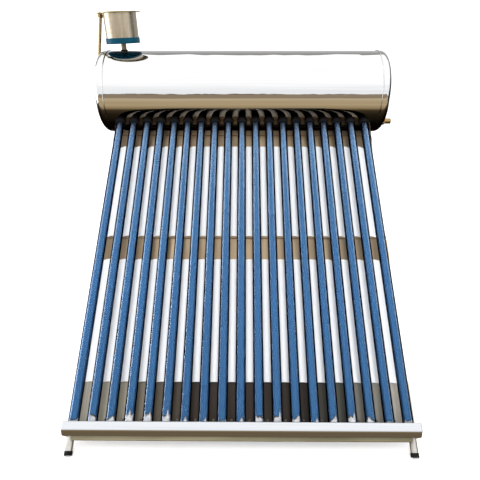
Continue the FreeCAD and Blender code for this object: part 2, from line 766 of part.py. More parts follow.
def feeder_base():
    """Blue plastic dish under the feeder tank."""
    bottom = Vector(0, 0, BASE_BOTTOM)
    top = Vector(0, 0, BASE_BOTTOM + BASE_HEIGHT)
    dish = rod(bottom, top, BASE_RADIUS)
    dish = round_rims(dish, 3)
    room = rod(Vector(0, 0, BASE_BOTTOM + BASE_WALL), top, BODY_RADIUS)
    hole = rod(bottom, top, STUB_RADIUS)
    return leaning(dish.cut([room, hole]))


def round_rims(shape, radius):
    """Round the two circular edges of a disc."""
    rims = [edge for edge in shape.Edges if isinstance(edge.Curve, Part.Circle)]
    return shape.makeFillet(radius, rims)


def feeder_body():
    low = Vector(0, 0, BASE_BOTTOM + BASE_WALL)
    wall = pipe(low, Vector(0, 0, LID_HEIGHT), BODY_RADIUS, 1)
    port = rod(Vector(0, 80, VALVE_HEIGHT), Vector(0, 110, VALVE_HEIGHT), VALVE_SHANK)
    return leaning(wall.cut(port))


def feeder_lid():
    """Flat lid with a tab on its left that the vent pipe passes through."""
    low = Vector(0, 0, LID_HEIGHT)
    high = Vector(0, 0, LID_HEIGHT + LID_SHEET)
    lid = rod(low, high, LID_RADIUS)
    tab = rod(low.add(Vector(TAB_X, 0, 0)), high.add(Vector(TAB_X, 0, 0)), TAB_RADIUS)
    neck = box_between(Vector(TAB_X, -TAB_RADIUS, LID_HEIGHT), Vector(0, TAB_RADIUS, LID_HEIGHT + LID_SHEET))
    lid = lid.fuse([tab, neck]).removeSplitter()
    hole = rod(low.add(Vector(VENT_X, 0, -5)), high.add(Vector(VENT_X, 0, 5)), VENT_RADIUS + 1.2)
    return leaning(lid.cut(hole))


def hinge():
    return Vector(0, HINGE_Y, VALVE_HEIGHT - HINGE_DROP)


def float_valve_body():
    """Valve body through the feeder's back wall, with two ears that hold the float arm's pin."""
    front = Vector(0, VALVE_FRONT, VALVE_HEIGHT)
    wall = Vector(0, BODY_RADIUS - 2.5, VALVE_HEIGHT)
    shank_end = Vector(0, BODY_RADIUS + VALVE_NUT + FIT_GAP, VALVE_HEIGHT)
    tail = Vector(0, VALVE_REACH, VALVE_HEIGHT)
    body = rod(front, wall, VALVE_RADIUS)
    body = body.fuse([rod(wall, shank_end, VALVE_SHANK), rod(shank_end, tail, VALVE_THREAD)])
    slot_half = ARM_HALF_WIDTH + FIT_GAP
    for side in (-1, 1):
        near = side * slot_half
        far = side * (slot_half + EAR_WIDTH)
        low = Vector(min(near, far), HINGE_Y - EAR_ROUND, VALVE_HEIGHT - HINGE_DROP - EAR_ROUND)
        high = Vector(max(near, far), VALVE_FRONT + EAR_ROUND, VALVE_HEIGHT + EAR_ROUND)
        body = body.fuse(box_between(low, high))
    pin_hole = rod(hinge().sub(X_AXIS * 20), hinge().add(X_AXIS * 20), HINGE_PIN)
    guide = rod(front.sub(Y_AXIS * 5), Vector(0, VALVE_SEAT, VALVE_HEIGHT), LUG_RADIUS + RUNNING_GAP)
    water_way = rod(Vector(0, VALVE_SEAT - 1, VALVE_HEIGHT), tail.add(Y_AXIS), WATER_WAY)
    spout_top = Vector(0, VALVE_SEAT - 3, VALVE_HEIGHT)
    spout = rod(spout_top, spout_top.sub(Z_AXIS * 20), SPOUT)
    return leaning(body.cut([pin_hole, guide, water_way, spout]))


def valve_nut():
    """Brass nut that clamps the valve body to the feeder's back wall."""
    start = Vector(0, BODY_RADIUS + FIT_GAP, VALVE_HEIGHT)
    end = start.add(Y_AXIS * VALVE_NUT)
    return leaning(hexagon(start, end, VALVE_NUT_SIZE).cut(rod(start, end, VALVE_SHANK)))


def hinge_pin():
    reach = X_AXIS * PIN_HALF_LENGTH
    return leaning(rod(hinge().sub(reach), hinge().add(reach), HINGE_PIN))


def lug_centre():
    """Middle of the lug that pushes the plunger, with the float hanging down."""
    angle = math.radians(ARM_SWING / 2)
    return hinge().add(Vector(0, -HINGE_DROP * math.sin(angle), HINGE_DROP * math.cos(angle)))


def valve_plunger():
    """Plunger that closes the water way when the lug pushes it back."""
    start = Vector(0, lug_centre().y + LUG_RADIUS + FIT_GAP, VALVE_HEIGHT)
    travel = 2 * HINGE_DROP * math.sin(math.radians(ARM_SWING / 2))
    end = Vector(0, VALVE_SEAT - travel - 1.2, VALVE_HEIGHT)
    return leaning(rod(start, end, LUG_RADIUS))


def arm_direction():
    angle = math.radians(ARM_SWING)
    return Vector(0, -math.cos(angle), -math.sin(angle))


def float_arm():
    half = ARM_HALF_WIDTH
    side = X_AXIS * half
    root = rod(hinge().sub(side), hinge().add(side), EAR_ROUND)
    lug = rod(lug_centre().sub(side), lug_centre().add(side), LUG_RADIUS)
    end = hinge().add(arm_direction() * (ARM_LENGTH - BALL_RADIUS + 6))
    web = box_between(Vector(-half, -3, 0), Vector(half, 3, HINGE_DROP)).translated(hinge())
    web = web.rotated(hinge(), X_AXIS, ARM_SWING / 2)
    arm = root.fuse([lug, web, rod(hinge(), end, ARM_ROD)])
    bore = rod(hinge().sub(side * 2), hinge().add(side * 2), HINGE_PIN + RUNNING_GAP)
    return leaning(arm.cut(bore))


def float_ball():
    centre = hinge().add(arm_direction() * ARM_LENGTH)
    ball = Part.makeSphere(BALL_RADIUS, centre).cut(Part.makeSphere(BALL_RADIUS - BALL_WALL, centre))
    return leaning(ball.cut(rod(hinge(), centre, ARM_ROD)))


# ---- Assembly ----

def make_tank():
    cap = right_cap_blank()
    parts["outer_shell"] = outer_shell()
    parts["right_end_cap"] = cap.cut(nipple_solid(NIPPLE_RADIUS))
    parts["left_end_cap"] = mirrored(cap).cut(vent_solid(VENT_RADIUS))
    parts["inner_tank"] = inner_tank()
    parts["insulation_foam"] = insulation_foam()
    parts["vent_pipe"] = vent_pipe()
    parts["brass_nuts"] = Part.makeCompound([vent_nut(), turned(valve_nut())])
    parts["outlet_nipple"] = outlet_nipple()


def make_tubes():
    for i, x in enumerate(TUBE_X):
        parts["glass_tube_%02d" % (i + 1)] = glass_tube(x)
    parts["absorber_tubes"] = at_each_tube(absorber_tube())
    parts["getter_caps"] = at_each_tube(getter_cap())
    parts["tail_cups"] = at_each_tube(tail_cup())
    parts["tube_seals"] = at_each_tube(tube_seal())
    parts["dust_rings"] = at_each_tube(dust_ring())


def make_slope():
    parts["upper_reflector"] = reflector(UPPER_REFLECTOR)
    parts["lower_reflector"] = reflector(LOWER_REFLECTOR)
    parts["upper_cross_beam"] = cross_beam(UPPER_BEAM, [UPPER_GROOVE])
    parts["middle_cross_beam"] = cross_beam(MIDDLE_BEAM, [MIDDLE_GROOVE])
    parts["lower_cross_panel"] = cross_beam(LOWER_PANEL, [])
    parts["tail_rail"] = tail_rail()
    end_cap = rail_end_cap()
    parts["rail_end_caps"] = Part.makeCompound([end_cap, mirrored(end_cap)])
    parts["rail_support_bar"] = rail_support_bar()


def make_frame():
    bolts = bolt_solids()
    legs = {"front_leg": front_leg(), "rear_leg": rear_leg()}
    for name, leg in legs.items():
        leg = leg.cut(bolts)
        parts[name + "_right"] = leg
        parts[name + "_left"] = mirrored(leg)
    saddle = tank_saddle().cut(bolts)
    parts["tank_saddles"] = Part.makeCompound([saddle, mirrored(saddle)])
    bars = [side_bar(z).cut(bolts) for z in SIDE_BAR_HEIGHTS]
    parts["side_bars"] = Part.makeCompound(bars + [mirrored(bar) for bar in bars])
    parts["rear_cross_bars"] = Part.makeCompound([rear_cross_bar(z) for z in REAR_BAR_HEIGHTS])
    low, high = REAR_BAR_HEIGHTS[1] + 60, REAR_BAR_HEIGHTS[0] - 60
    braces = [rear_brace(low, high, 0.0), rear_brace(high, low, FLAT_BAR + FIT_GAP)]
    parts["rear_braces"] = Part.makeCompound(braces)
    boots = [front_boot(), rear_boot()]
    parts["foot_boots"] = Part.makeCompound(boots + [mirrored(boot) for boot in boots])
    parts["frame_bolts"] = Part.makeCompound(bolts)


def make_feeder():
    upright = {
        "feeder_stub": feeder_stub(),
        "stub_gasket": stub_gasket(),
        "feeder_base": feeder_base(),
        "feeder_body": feeder_body(),
        "feeder_lid": feeder_lid(),
        "float_valve_body": float_valve_body(),
        "float_hinge_pin": hinge_pin(),
        "valve_plunger": valve_plunger(),
        "float_arm": float_arm(),
        "float_ball": float_ball(),
    }
    for name, shape in upright.items():
        parts[name] = turned(shape)


def whole_box():
    box = FreeCAD.BoundBox()
    for shape in parts.values():
        box.add(shape.optimalBoundingBox(False, False))
    return box


def write_parts():
    """Move the origin to the bottom centre of the whole heater and write one file per part."""
    box = whole_box()
    shift = Vector(-box.Center.x, -box.Center.y, AXIS_HEIGHT)
    os.makedirs("parts", exist_ok=True)
    for name, shape in parts.items():
        shape.translated(shift).exportStep("parts/%s.step" % name)
    print("tank axis at", shift, "size", box.XLength, box.YLength, box.ZLength, "lowest", box.ZMin)
    pivot = turned(leaning(Part.Vertex(hinge()))).Point.add(shift)
    print("float hinge at", pivot, "parts", len(parts))


make_tank()
make_tubes()
make_slope()
make_frame()
make_feeder()
write_parts()
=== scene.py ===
import json
import math
import random

import bmesh
import bpy
from mathutils import Matrix, Vector


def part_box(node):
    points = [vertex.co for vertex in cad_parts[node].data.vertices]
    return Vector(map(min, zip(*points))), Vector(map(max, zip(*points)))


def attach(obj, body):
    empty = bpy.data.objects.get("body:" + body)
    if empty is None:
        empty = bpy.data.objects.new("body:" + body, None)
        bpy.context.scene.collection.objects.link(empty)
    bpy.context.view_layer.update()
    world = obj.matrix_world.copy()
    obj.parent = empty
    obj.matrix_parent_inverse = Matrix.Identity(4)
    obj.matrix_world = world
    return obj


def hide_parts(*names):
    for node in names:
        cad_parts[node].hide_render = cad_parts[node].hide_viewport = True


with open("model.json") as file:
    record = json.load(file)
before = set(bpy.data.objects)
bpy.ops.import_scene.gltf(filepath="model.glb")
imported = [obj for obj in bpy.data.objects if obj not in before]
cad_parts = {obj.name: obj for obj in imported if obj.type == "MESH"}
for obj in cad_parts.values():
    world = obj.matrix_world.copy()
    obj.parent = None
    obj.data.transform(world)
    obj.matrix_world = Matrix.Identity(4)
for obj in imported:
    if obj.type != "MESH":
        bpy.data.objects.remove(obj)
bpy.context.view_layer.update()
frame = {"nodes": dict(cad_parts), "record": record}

HEATER = "heater"


# ---- Places, worked out from the frame ----

def middle(node):
    """Centre of a CAD node's box."""
    low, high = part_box(node)
    return (low + high) / 2


TANK = middle("outer_shell")
TUBES = sorted(name for name in frame["nodes"] if name.startswith("glass_tube"))
TUBE_X = [middle(name).x for name in TUBES]
PITCH = (TUBE_X[-1] - TUBE_X[0]) / (len(TUBES) - 1)
DOWN = Vector((0, -1, -1)).normalized()
OUT = Vector((0, -1, 1)).normalized()


def on_slope(x, down, out):
    """A point at distances down the tubes and out from their plane, both from the tank's axis."""
    return Vector((x, TANK.y, TANK.z)) + DOWN * down + OUT * out


# ---- Camera ----

LENS = 34.65
EYE_FROM_TANK = Vector((0.0083, -2.985, 0.0258))
LOOKS_DOWN = 18.28      # degrees below level
TURNED = 0.465          # degrees to the left


def make_camera():
    data = bpy.data.cameras.new("view")
    data.sensor_width = 36
    data.lens = LENS
    data.dof.use_dof = False
    camera = bpy.data.objects.new("view", data)
    camera.location = TANK + EYE_FROM_TANK
    camera.rotation_euler = (math.radians(90 - LOOKS_DOWN), 0, math.radians(TURNED))
    bpy.context.scene.collection.objects.link(camera)
    bpy.context.scene.camera = camera


make_camera()


# ---- Materials ----

class Nodes:
    """A material's node tree, with short calls for the nodes used here."""

    def __init__(self, name):
        self.material = bpy.data.materials.new(name)
        self.material.use_nodes = True
        self.tree = self.material.node_tree
        self.shader = self.tree.nodes["Principled BSDF"]
        self.place = self.add("ShaderNodeTexCoord").outputs["Object"]

    def add(self, kind, **values):
        """A new node, with its settings or its sockets' values; _ stands for a space in a socket's name."""
        node = self.tree.nodes.new(kind)
        for key, value in values.items():
            if hasattr(node, key):
                setattr(node, key, value)
            else:
                node.inputs[key.replace("_", " ")].default_value = value
        return node

    def link(self, source, target):
        self.tree.links.new(source, target)

    def set(self, **values):
        """Values that are the same all over the surface."""
        for key, value in values.items():
            self.shader.inputs[key.replace("_", " ")].default_value = value

    def stretched(self, x, y, z):
        """Object coordinates scaled along each axis, for streaks."""
        mapping = self.add("ShaderNodeMapping", Scale=(x, y, z))
        self.link(self.place, mapping.inputs["Vector"])
        return mapping.outputs["Vector"]

    def noise(self, vector, detail, roughness=0.5):
        node = self.add("ShaderNodeTexNoise", Scale=1.0, Detail=detail, Roughness=roughness)
        self.link(vector, node.inputs["Vector"])
        return node.outputs["Fac"]

    def patches(self, grain, detail):
        """Noise that is alike in every direction, with about this many patches to the metre."""
        return self.noise(self.stretched(grain, grain, grain), detail)

    def share(self, axis, low, high):
        """How far a point lies between two places on an axis, for a ramp."""
        split = self.add("ShaderNodeSeparateXYZ")
        self.link(self.place, split.inputs["Vector"])
        part = self.add("ShaderNodeMapRange", From_Min=low, From_Max=high)
        self.link(split.outputs[axis], part.inputs["Value"])
        return part.outputs["Result"]

    def ramp(self, value, stops):
        """stops: (position, grey or colour)."""
        node = self.add("ShaderNodeValToRGB")
        elements = node.color_ramp.elements
        while len(elements) < len(stops):
            elements.new(0.5)
        for element, (position, colour) in zip(elements, stops):
            element.position = position
            if not isinstance(colour, tuple):
                colour = (colour, colour, colour)
            element.color = (*colour, 1)
        self.link(value, node.inputs["Fac"])
        return node.outputs["Color"]

    def multiplied(self, first, second):
        mix = self.add("ShaderNodeMix", data_type="RGBA", blend_type="MULTIPLY")
        mix.inputs["Factor"].default_value = 1.0
        self.link(first, mix.inputs[6])
        self.link(second, mix.inputs[7])
        return mix.outputs[2]

    def bump(self, height, strength, distance):
        node = self.add("ShaderNodeBump", Strength=strength, Distance=distance)
        self.link(height, node.inputs["Height"])
        self.link(node.outputs["Normal"], self.shader.inputs["Normal"])

    def colour(self, source):
        self.link(source, self.shader.inputs["Base Color"])

    def roughness(self, source):
        self.link(source, self.shader.inputs["Roughness"])


def streaked_steel(name, light, dark, rough, scale):
    """Rolled stainless sheet: fine streaks along one direction, faint stains and a slight waviness."""
    m = Nodes(name)
    m.set(Metallic=1.0)
    streaks = m.noise(m.stretched(*scale), 4.0, 0.6)
    m.colour(m.ramp(streaks, [(0.3, dark), (0.7, light)]))
    m.roughness(m.ramp(m.patches(3, 2.0), [(0.35, rough), (0.7, rough * 1.6)]))
    m.bump(m.patches(7, 1.0), 0.6, 0.0008)
    return m.material


def polished_shell():
    """Mirror-polished stainless sheet of the tank, slightly dented, with painted shade on its underside: base
    colour and specular tint turn dark brown there, standing in for the shaded ground it mirrors.
    """
    m = Nodes("polished_shell")
    m.set(Metallic=1.0)
    shade_bottom = TANK.z - 0.13
    shade_top = TANK.z - 0.07
    streaks = m.ramp(m.noise(m.stretched(1.5, 90, 90), 3.0), [(0.3, 0.92), (0.7, 1.0)])
    # painted shade: this ramp (named film, though it is no real film) and the specular tint below turn the
    # underside dark brown
    film = m.ramp(m.share("Z", shade_bottom, shade_top), [
        (0.0, (0.17, 0.142, 0.108)),
        (0.5, (0.19, 0.165, 0.13)),
        (1.0, (0.53, 0.53, 0.53)),
    ])
    m.colour(m.multiplied(streaks, film))
    underside_shade_tint = m.ramp(m.share("Z", shade_bottom, shade_top), [
        (0.0, (0.22, 0.18, 0.13)),
        (1.0, (1.0, 1.0, 1.0)),
    ])
    m.link(underside_shade_tint, m.shader.inputs["Specular Tint"])
    m.roughness(m.ramp(m.patches(5, 4.0), [(0.35, 0.035), (0.75, 0.08)]))
    m.bump(m.noise(m.stretched(3, 6, 6), 1.5), 0.5, 0.003)
    return m.material


def clear_glass():
    """Clear outer glass: faint reflections facing the eye, and a painted dark navy outline where it is edge
    on, standing in for the dark things its edge refracts.
    """
    m = Nodes("clear_glass")
    m.set(Metallic=1.0, Specular_Tint=(0.02, 0.05, 0.10, 1))
    turned_away = m.add("ShaderNodeLayerWeight", Blend=0.5).outputs["Facing"]
    # painted reflection: the colour turns dark navy where the glass is edge on
    m.colour(m.ramp(turned_away, [
        (0.20, (0.60, 0.78, 1.0)),
        (0.32, (0.45, 0.60, 0.80)),
        (0.42, (0.010, 0.028, 0.062)),
    ]))
    cover = m.ramp(turned_away, [(0.0, 0.004), (0.18, 0.008), (0.31, 0.10), (0.40, 0.92)])
    m.link(cover, m.shader.inputs["Alpha"])
    m.roughness(m.ramp(m.patches(12, 3.0), [(0.4, 0.15), (0.7, 0.19)]))
    return m.material


def absorber():
    """Blue selective coating, a little lighter towards the tank; the dark band just under its rings is
    painted shade, the tank's dark underside mirrored in the tubes.
    """
    m = Nodes("absorber_blue")
    m.set(Metallic=0.5, Specular_IOR_Level=0.2, Specular_Tint=(0.02, 0.05, 0.10, 1))
    lower_end = on_slope(0, 1.9, 0).z
    rings = on_slope(0, 0.26, 0).z
    along = m.ramp(m.share("Z", lower_end, rings), [
        (0.0, (0.024, 0.078, 0.175)),
        (0.35, (0.030, 0.098, 0.225)),
        (0.92, (0.040, 0.115, 0.240)),
        # painted shade: the last two stops darken the coating just under the rings, where the tubes mirror
        # the tank's dark underside
        (0.96, (0.024, 0.072, 0.165)),
        (1.0, (0.006, 0.020, 0.055)),
    ])
    uneven = m.ramp(m.noise(m.stretched(5, 1, 1), 2.0), [(0.3, 0.88), (0.7, 1.0)])
    m.colour(m.multiplied(along, uneven))
    m.roughness(m.ramp(m.patches(2, 2.0), [(0.3, 0.26), (0.7, 0.30)]))
    return m.material


def white_sheet():
    """White coated reflector sheet with faint lighter and darker streaks down the slope."""
    m = Nodes("white_sheet")
    m.set(Specular_IOR_Level=0.3)
    streaks = m.noise(m.stretched(60, 2, 2), 4.0, 0.6)
    m.colour(m.ramp(streaks, [(0.3, (0.87, 0.88, 0.90)), (0.65, (0.95, 0.955, 0.96))]))
    m.roughness(m.ramp(m.patches(8, 3.0), [(0.3, 0.35), (0.7, 0.5)]))
    return m.material


def rail_steel():
    """Polished tail rail, its lower face painted darker as shade, for the shadowed ground it mirrors."""
    m = Nodes("rail_steel")
    m.set(Metallic=1.0)
    # painted shade: the base colour is dark grey below this height and light above it
    shade_below = 0.140
    lit_above = 0.152
    streaks = m.ramp(m.noise(m.stretched(1.2, 120, 120), 4.0, 0.6), [(0.3, 0.92), (0.7, 1.0)])
    rail_painted_shade = m.ramp(m.share("Z", shade_below, lit_above), [
        (0.0, (0.165, 0.165, 0.17)),
        (1.0, (0.45, 0.465, 0.485)),
    ])
    m.colour(m.multiplied(streaks, rail_painted_shade))
    m.roughness(m.ramp(m.patches(3, 2.0), [(0.35, 0.12), (0.7, 0.19)]))
    m.bump(m.noise(m.stretched(5, 7, 7), 1.0), 0.5, 0.0005)
    return m.material


def plastic(name, light, dark, rough, gloss=0.5, grain=400.0, depth=0.0002):
    """Moulded plastic or rubber with a fine grain and slight shade changes."""
    m = Nodes(name)
    m.set(Specular_IOR_Level=gloss)
    m.colour(m.ramp(m.patches(14, 3.0), [(0.3, dark), (0.7, light)]))
    m.roughness(m.ramp(m.patches(25, 2.0), [(0.3, rough), (0.7, min(1.0, rough * 1.5))]))
    m.bump(m.patches(grain, 2.0), 0.4, depth)
    return m.material


def brass():
    """Machined brass, dulled unevenly."""
    m = Nodes("machined_brass")
    m.set(Metallic=1.0)
    m.colour(m.ramp(m.patches(60, 3.0), [(0.3, (0.20, 0.13, 0.055)), (0.7, (0.34, 0.23, 0.10))]))
    m.roughness(m.ramp(m.patches(90, 2.0), [(0.3, 0.22), (0.7, 0.42)]))
    m.bump(m.patches(250, 2.0), 0.3, 0.0002)
    return m.material


def getter_silver():
    """Silver film inside the glass at a tube's lower end."""
    m = Nodes("getter_silver")
    m.set(Metallic=1.0)
    m.colour(m.ramp(m.patches(90, 3.0), [(0.3, (0.26, 0.26, 0.27)), (0.6, (0.44, 0.44, 0.45))]))
    m.roughness(m.ramp(m.patches(150, 2.0), [(0.3, 0.25), (0.7, 0.5)]))
    return m.material


def lower_panel():
    """Steel panel behind the tubes' lower ends, with painted light and shade: lighter towards both of its
    ends and very dark in the middle, where the ground under the heater lies in shade.
    """
    m = Nodes("panel_steel")
    m.set(Metallic=0.4, Specular_IOR_Level=0.1)
    # painted light and shade: this tone across the panel is not weathering
    tone = m.ramp(m.share("X", TUBE_X[0], TUBE_X[-1]), [
        (0.0, (0.50, 0.46, 0.38)),
        (0.11, (0.40, 0.36, 0.28)),
        (0.20, (0.17, 0.145, 0.11)),
        (0.33, (0.040, 0.030, 0.024)),
        (0.70, (0.032, 0.026, 0.022)),
        (0.82, (0.085, 0.085, 0.072)),
        (0.91, (0.28, 0.265, 0.23)),
        (1.0, (0.54, 0.50, 0.43)),
    ])
    streaks = m.ramp(m.noise(m.stretched(45, 1.5, 1.5), 4.0, 0.65), [(0.3, 0.72), (0.7, 1.25)])
    m.colour(m.multiplied(tone, streaks))
    m.roughness(m.ramp(m.patches(6, 3.0), [(0.35, 0.32), (0.7, 0.42)]))
    return m.material


def foam():
    """Insulation foam between the tank's shells."""
    m = Nodes("foam")
    m.set(Roughness=0.9)
    m.colour(m.ramp(m.patches(40, 4.0), [(0.3, (0.75, 0.66, 0.38)), (0.7, (0.88, 0.80, 0.55))]))
    m.bump(m.patches(200, 3.0), 0.6, 0.001)
    return m.material


def make_steels():
    """Rolled steels: light streaks, dark streaks, roughness, and how fine the streaks are along each axis."""
    looks = {
        "inner_steel": ((0.60, 0.58, 0.55), (0.45, 0.43, 0.40), 0.3, (2, 60, 60)),
        # painted reflection: beam_steel's tan stands in for the tan ground the beams mirror, not the steel's
        # own colour
        "beam_steel": ((0.52, 0.40, 0.265), (0.37, 0.28, 0.19), 0.36, (40, 3, 3)),
        "frame_steel": ((0.42, 0.41, 0.38), (0.33, 0.32, 0.31), 0.24, (60, 60, 4)),
        "bolt_steel": ((0.30, 0.27, 0.22), (0.18, 0.155, 0.12), 0.35, (90, 90, 90)),
        "feeder_steel": ((0.44, 0.385, 0.29), (0.29, 0.245, 0.18), 0.24, (50, 50, 1.5)),
        "lid_steel": ((0.36, 0.31, 0.18), (0.26, 0.22, 0.12), 0.25, (4, 60, 60)),
    }
    return {name: streaked_steel(name, *look) for name, look in looks.items()}


def make_plastics():
    """Plastics and rubbers: lighter shade, darker shade, roughness, then gloss, grain and grain depth."""
    looks = {
        "silicone": ((0.75, 0.75, 0.72), (0.62, 0.62, 0.60), 0.5),
        "black_rubber": ((0.006, 0.006, 0.007), (0.003, 0.003, 0.004), 0.5, 0.12),
        "cup_plastic": ((0.02, 0.02, 0.022), (0.012, 0.012, 0.014), 0.5, 0.2),
        "blue_plastic": ((0.001, 0.050, 0.085), (0.0005, 0.032, 0.055), 0.3, 0.08, 300, 0.0001),
        "float_plastic": ((0.75, 0.22, 0.06), (0.60, 0.15, 0.04), 0.35),
    }
    return {name: plastic(name, *look) for name, look in looks.items()}


def make_materials():
    """One material for each of the record's slots."""
    return {
        "polished_steel": polished_shell(),
        "cap_steel": polished_shell(),
        "foam": foam(),
        "clear_glass": clear_glass(),
        "absorber_coating": absorber(),
        "getter_silver": getter_silver(),
        "rail_steel": rail_steel(),
        "white_reflector": white_sheet(),
        "brass": brass(),
        **make_steels(),
        **make_plastics(),
    }


MATERIALS = make_materials()
SLOT_OF = {part["node"]: part["material_slot"] for part in frame["record"]["subparts"]}


def give_cad_materials():
    """Each node gets its slot's material; a few weathered pieces, and the lower panel with its painted light
    and shade, get their own.
    """
    weathered = {
        "rail_support_bar": ("support_bar", (0.24, 0.22, 0.145), (0.18, 0.16, 0.10), 0.35, (2, 90, 90)),
        "feeder_stub": ("stub_steel", (0.20, 0.16, 0.11), (0.10, 0.08, 0.055), 0.3, (90, 90, 4)),
        "vent_pipe": ("vent_steel", (0.42, 0.35, 0.23), (0.30, 0.25, 0.16), 0.25, (90, 90, 4)),
    }
    own = {node: streaked_steel(*look) for node, look in weathered.items()}
    own["lower_cross_panel"] = lower_panel()
    for name, node in frame["nodes"].items():
        material = own.get(name, MATERIALS[SLOT_OF[name]])
        for slot in node.material_slots:
            slot.material = material


give_cad_materials()


# ---- Pieces ----

def placed(name, mesh, material):
    """An object made of a finished mesh, with one material."""
    data = bpy.data.meshes.new(name)
    mesh.to_mesh(data)
    mesh.free()
    data.materials.append(material)
    made = bpy.data.objects.new(name, data)
    bpy.context.scene.collection.objects.link(made)
    return made


def add_piece(name, mesh, material, body=HEATER):
    """A smooth piece of the heater that rides on a body."""
    piece = placed(name, mesh, material)
    for polygon in piece.data.polygons:
        polygon.use_smooth = True
    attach(piece, body)
    return piece


def around(steps):
    """Even angles all round a circle."""
    return [2 * math.pi * i / steps for i in range(steps)]


def join_rings(mesh, rings):
    """Faces between rings of points, and one across the last ring. Returns the rings' corners."""
    corners = [[mesh.verts.new(point) for point in ring] for ring in rings]
    for first, second in zip(corners, corners[1:]):
        for i in range(len(first)):
            j = (i + 1) % len(first)
            mesh.faces.new((first[i], first[j], second[j], second[i]))
    mesh.faces.new(corners[-1])
    return corners


FILM_STEPS = 72         # corners round a getter film
FILM_ROWS = 4           # rows of faces in its straight part
BEND_ROWS = 8           # rows of faces in its round end
FILM_THICKNESS = 0.0004
GLASS_WALL = 0.0022
RAIL_MOUTH = 1.900      # down the slope from the tank's axis


def getter_edge(angle, spikes):
    """How far the silver film reaches up the tube at an angle round it."""
    reach = 0.0
    for centre, width, height in spikes:
        gap = abs((angle - centre + math.pi) % (2 * math.pi) - math.pi)
        if gap < width:
            reach = max(reach, height * (1 - gap / width) ** 1.3)
    return reach


def getter_shape(kind, rng):
    """Level of a film's upper edge above the rail's mouth, and its spikes as (angle, half width, height)."""
    front = math.pi / 2
    tall = (front - rng.uniform(0.1, 0.6), rng.uniform(0.16, 0.26), rng.uniform(0.022, 0.042))
    small = []
    for _ in range(6):
        small.append((rng.uniform(0, 2 * math.pi), rng.uniform(0.2, 0.4), rng.uniform(0.004, 0.010)))
    if kind == "block":
        return rng.uniform(0.024, 0.031), [tall] + small
    if kind == "plain block":
        return rng.uniform(0.022, 0.030), small
    if kind == "strip":
        return rng.uniform(0.005, 0.010), small
    if kind == "spike":
        return rng.uniform(0.001, 0.004), [(tall[0], 0.45, rng.uniform(0.016, 0.028))]
    slant = (front + rng.uniform(-0.8, 0.8), 1.3, rng.uniform(0.014, 0.026))
    return rng.uniform(0.006, 0.012), [slant] + small


def getter_film(mesh, x, radius, level, bend, spikes):
    """Silver film inside a tube's lower end, with an uneven upper edge, closed by the round end."""
    rings = []
    for row in range(FILM_ROWS + 1):
        ring = []
        for angle in around(FILM_STEPS):
            top = level - getter_edge(angle, spikes)
            down = top + (bend - top) * row / FILM_ROWS
            ring.append(on_slope(x + radius * math.cos(angle), down, radius * math.sin(angle)))
        rings.append(ring)
    for row in range(1, BEND_ROWS):
        lean = math.pi / 2 * row / BEND_ROWS
        narrow = radius * math.cos(lean)
        down = bend + radius * math.sin(lean)
        rings.append([on_slope(x + narrow * math.cos(angle), down, narrow * math.sin(angle))
                      for angle in around(FILM_STEPS)])
    join_rings(mesh, rings)


def make_getter_films():
    """The silver films of all the tubes, in the place of the plain CAD caps."""
    rng = random.Random(7)
    low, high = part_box(TUBES[0])
    tube_radius = (high.x - low.x) / 2
    tube_end = (TANK.z - low.z - tube_radius) / -DOWN.z + tube_radius
    kinds = ["block", "plain block", "strip", "block", "ragged", "spike"]
    mesh = bmesh.new()
    for x in TUBE_X:
        height, spikes = getter_shape(rng.choice(kinds), rng)
        getter_film(mesh, x, tube_radius - GLASS_WALL, RAIL_MOUTH - height, tube_end - tube_radius, spikes)
    piece = add_piece("getter_films", mesh, MATERIALS["getter_silver"])
    thick = piece.modifiers.new("film", "SOLIDIFY")
    thick.thickness = FILM_THICKNESS
    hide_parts("getter_caps")


def domed_head(mesh, centre, radius, height):
    """A pan head with a small cross recess, standing out from the slope."""
    side = -DOWN
    other = OUT.cross(side).normalized()
    dome = [(1.0, 0.0), (1.0, 0.35), (0.86, 0.75), (0.6, 0.95)]
    recess = [(0.3, 1.0), (0.22, 0.6)]
    rings = []
    for width, lift in dome + recess:
        ring = []
        for angle in around(20):
            reach = radius * width
            if (width, lift) in recess:
                reach *= 1.0 + 0.35 * math.cos(4 * angle)
            across = side * (reach * math.cos(angle)) + other * (reach * math.sin(angle))
            ring.append(centre + OUT * (height * lift) + across)
        rings.append(ring)
    corners = join_rings(mesh, rings)
    mesh.faces.new(corners[0][::-1])


SCREWS_DOWN = 1.886     # down the slope from the tank's axis
PANEL_FACE = -0.056     # out from the tubes' plane


def make_screws():
    """Screws in the gaps between the tubes, along the lower edge of the lower panel."""
    mesh = bmesh.new()
    for x in TUBE_X[:-1]:
        domed_head(mesh, on_slope(x + PITCH / 2, SCREWS_DOWN, PANEL_FACE), 0.006, 0.003)
    add_piece("sheet_screws", mesh, MATERIALS["bolt_steel"])


make_getter_films()
make_screws()


# ---- Floor, surroundings and light ----

GROUND_REACH = 11.5     # how far the mirrored ground goes in front of the tank


def stage_card(name, mesh, material):
    """A card that belongs to the studio, not to the heater."""
    card = placed(name, mesh, material)
    return card


def flat_card(name, corners, material):
    mesh = bmesh.new()
    mesh.faces.new([mesh.verts.new(corner) for corner in corners])
    return stage_card(name, mesh, material)


def level_corners(low, high, height):
    """Corners of a level card from its near left and far right corners."""
    return [
        (low[0], low[1], height),
        (high[0], low[1], height),
        (high[0], high[1], height),
        (low[0], high[1], height),
    ]


def shining(name, colour):
    """A material that shines in one even colour."""
    m = Nodes(name)
    shine = m.add("ShaderNodeEmission", Color=(*colour, 1))
    m.link(shine.outputs["Emission"], m.tree.nodes["Material Output"].inputs["Surface"])
    return m, shine


